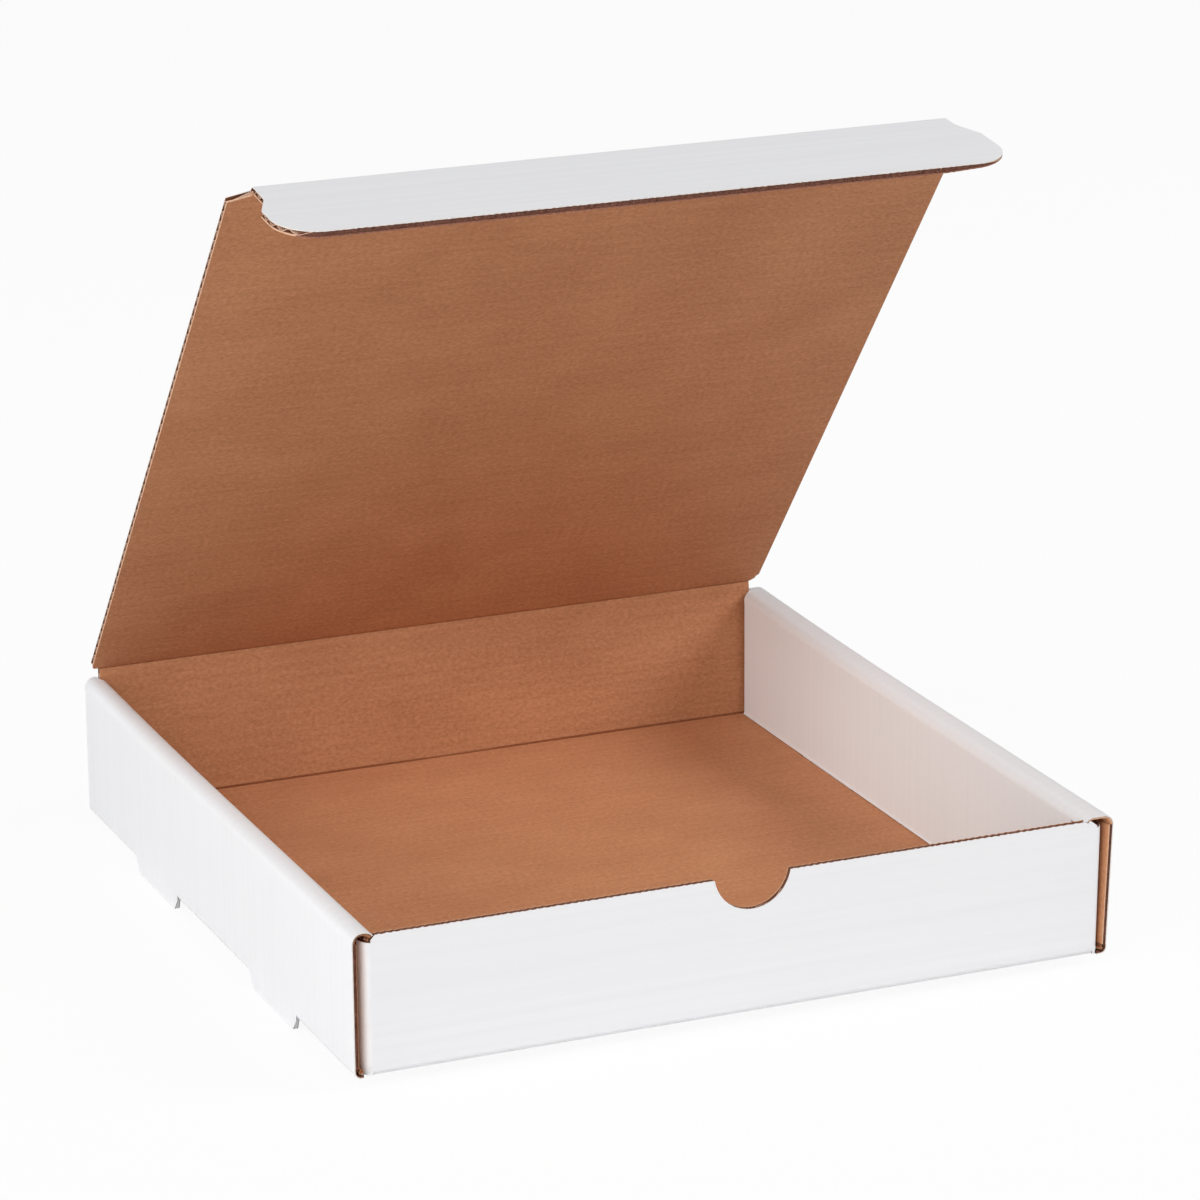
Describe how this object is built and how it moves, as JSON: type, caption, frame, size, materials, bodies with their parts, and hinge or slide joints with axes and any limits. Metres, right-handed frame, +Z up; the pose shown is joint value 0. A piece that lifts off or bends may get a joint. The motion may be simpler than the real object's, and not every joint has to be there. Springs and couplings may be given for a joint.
{
  "type": "corrugated mailing box",
  "caption": "Shallow roll-end mailing box of corrugated board, white outside and kraft inside, with double side walls, a thumb notch and a hinged lid with a tuck flap.",
  "frame": {"origin": "middle of the flat underside of the floor", "axes": "+Z up, -Y towards the front wall with the thumb notch, +X to the right seen from the front"},
  "size_m": [0.344, 0.35, 0.3441],
  "materials": {
    "white_liner": "matt white bleached liner, the outside of the sheet",
    "kraft_liner": "matt brown kraft liner, the inside of the sheet",
    "cut_edge": "die-cut edge with the fluted medium showing"
  },
  "bodies": {
    "tray": {"tray": "white_liner"},
    "lid": {"lid": "kraft_liner"},
    "tuck_flap": {"tuck_flap": "white_liner"}
  },
  "joints": [
    {"name": "lid_hinge", "type": "hinge", "parent": "tray", "child": "lid", "pos_m": [0, 0.1735, 0.07], "axis": [-1, 0, 0], "range_deg": [-50.6, 129]},
    {"name": "tuck_flap_hinge", "type": "hinge", "parent": "lid", "child": "tuck_flap", "pos_m": [0, -0.0428, 0.3371], "axis": [1, 0, 0], "range_deg": [-58.5, 36.5]}
  ]
}
